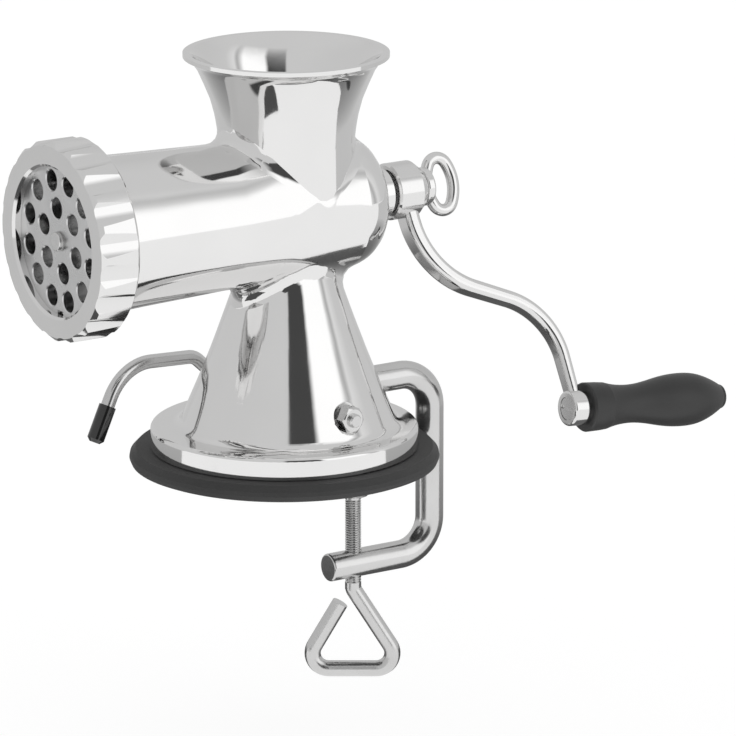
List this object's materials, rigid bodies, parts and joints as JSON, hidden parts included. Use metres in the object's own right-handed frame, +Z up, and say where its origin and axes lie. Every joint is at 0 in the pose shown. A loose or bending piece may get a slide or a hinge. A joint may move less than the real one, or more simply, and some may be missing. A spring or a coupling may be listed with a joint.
{
  "type": "hand crank meat grinder",
  "caption": "Polished steel hand crank meat grinder with top hopper, scalloped ring nut, curved crank with black grip, rubber suction foot with cam lever and screw clamp for a table edge.",
  "frame": {"origin": "centre of the suction foot's underside, on the table top", "axes": "+Z up from the table; +X along the barrel from its outlet towards the crank; +Y towards the side of the suction lever"},
  "size_m": [0.2866, 0.124, 0.2629],
  "materials": {
    "casting_steel": "mirror-polished cast stainless steel",
    "ring_steel": "polished cast stainless steel",
    "plate_steel": "satin-ground hardened steel",
    "knife_steel": "ground tool steel",
    "auger_steel": "satin cast stainless steel",
    "crank_steel": "polished cast stainless steel",
    "bolt_steel": "bright turned steel",
    "clamp_steel": "nickel-plated bent round bar",
    "screw_steel": "zinc-plated bent wire with rolled thread",
    "foot_rubber": "matt moulded rubber",
    "grip_plastic": "satin moulded plastic",
    "cap_plastic": "glossy dipped vinyl",
    "bush_nylon": "natural nylon"
  },
  "bodies": {
    "base": {"body_casting": "casting_steel", "plate_key_pin": "bolt_steel", "auger_washer": "bush_nylon", "rear_bushing": "bush_nylon", "suction_cup": "foot_rubber"},
    "plate": {"grinding_plate": "plate_steel"},
    "ring": {"ring_nut": "ring_steel"},
    "drive": {"auger": "auger_steel", "knife": "knife_steel", "crank_arm": "crank_steel", "grip_axle": "bolt_steel", "grip_washer": "bolt_steel"},
    "handle": {"grip": "grip_plastic", "grip_end_cap": "grip_plastic"},
    "washer": {"lock_washer": "bolt_steel"},
    "thumb": {"thumb_screw": "crank_steel"},
    "lever": {"cam_pin": "bolt_steel", "eccentric_cam": "bolt_steel", "cam_washer": "bolt_steel", "cam_nut": "bolt_steel", "lever_rod": "clamp_steel", "lever_cap": "cap_plastic"},
    "stem": {"suction_stem": "bolt_steel"},
    "clamp": {"clamp_frame": "clamp_steel"},
    "pad": {"clamp_pad": "screw_steel"},
    "screw": {"clamp_screw": "screw_steel"}
  },
  "joints": [
    {"name": "crank_turn", "type": "hinge", "parent": "base", "child": "drive", "pos_m": [0, 0, 0.1043], "axis": [1, 0, 0], "continuous": true},
    {"name": "grip_spin", "type": "hinge", "parent": "drive", "child": "handle", "pos_m": [0.11297, -0.04687, 0.01614], "axis": [0.9968, -0.0377, -0.0708], "continuous": true},
    {"name": "plate_out", "type": "slide", "parent": "base", "child": "plate", "axis": [-1, 0, 0], "range_m": [-0.0001, 0.0106]},
    {"name": "ring_unscrew", "type": "hinge", "parent": "plate", "child": "ring", "pos_m": [0, 0, 0.1043], "axis": [-1, 0, 0], "range_deg": [0, 1260]},
    {"name": "washer_out", "type": "slide", "parent": "drive", "child": "washer", "axis": [1, 0, 0], "range_m": [-0.0001, 0.0101]},
    {"name": "thumb_unscrew", "type": "hinge", "parent": "washer", "child": "thumb", "pos_m": [0, 0, 0.1043], "axis": [1, 0, 0], "range_deg": [0, 2880]},
    {"name": "lever_turn", "type": "hinge", "parent": "base", "child": "lever", "pos_m": [0, 0, 0.026], "axis": [-0.1132, 0.9936, 0], "range_deg": [0, 135]},
    {"name": "stem_lift", "type": "slide", "parent": "base", "child": "stem", "axis": [0, 0, 1], "range_m": [0, 0.00266]},
    {"name": "clamp_slide", "type": "slide", "parent": "base", "child": "clamp", "axis": [1, 0, 0], "range_m": [0, 0.06]},
    {"name": "pad_lift", "type": "slide", "parent": "clamp", "child": "pad", "axis": [0, 0, 1], "range_m": [-0.0211, 0.0031]},
    {"name": "clamp_screw_turn", "type": "hinge", "parent": "pad", "child": "screw", "pos_m": [0.03275, 0, 0], "axis": [0, 0, 1], "range_deg": [-7560, 1080]}
  ],
  "couplings": [
    {"joint": "plate_out", "follows": "ring_unscrew", "m_per_rad": 0.00047746},
    {"joint": "washer_out", "follows": "thumb_unscrew", "m_per_rad": 0.00019894},
    {"joint": "stem_lift", "follows": "lever_turn", "m_per_rad": 0.0010865},
    {"joint": "pad_lift", "follows": "clamp_screw_turn", "m_per_rad": 0.00015915}
  ]
}
